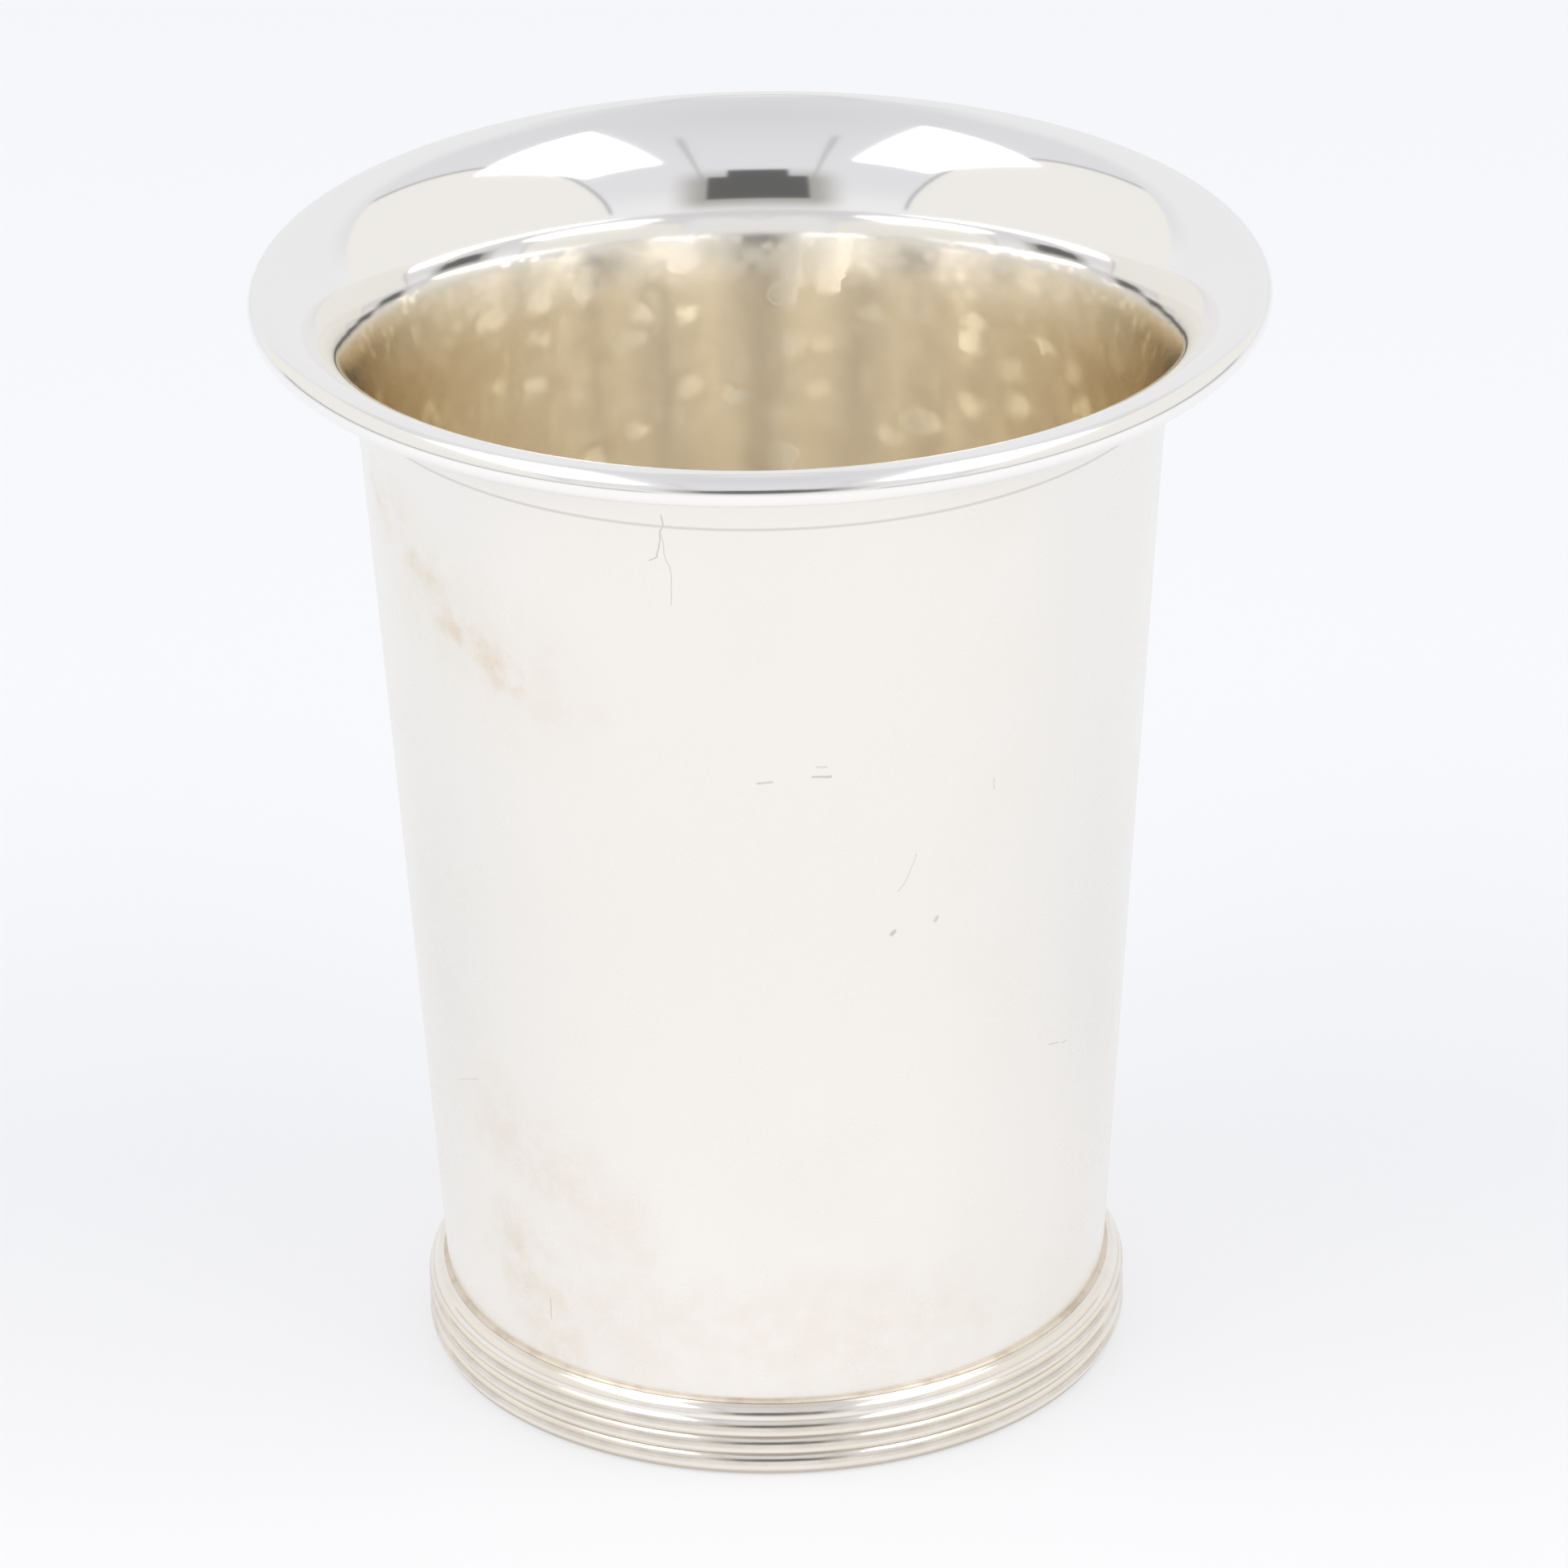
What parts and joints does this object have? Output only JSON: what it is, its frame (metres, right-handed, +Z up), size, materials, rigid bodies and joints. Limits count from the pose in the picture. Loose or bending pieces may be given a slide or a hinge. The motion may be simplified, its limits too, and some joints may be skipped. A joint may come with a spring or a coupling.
{
  "type": "silver beaker",
  "caption": "Tapered silver drinking beaker with a trumpet lip rolled over a wire and an applied reeded foot band.",
  "frame": {"origin": "centre of the foot's standing ring, on the table", "axes": "+Z up along the cup's axis, out through the mouth; the cup is the same all round, so X and Y are free"},
  "size_m": [0.083, 0.083, 0.095],
  "materials": {
    "worn_silver": "gloss",
    "bright_silver": "polished",
    "silver_solder": "satin"
  },
  "bodies": {
    "root": {"body_wall": "worn_silver", "lip_wire": "worn_silver", "base_disc": "worn_silver", "foot_band": "bright_silver", "foot_solder": "silver_solder", "base_solder": "silver_solder"}
  },
  "joints": []
}
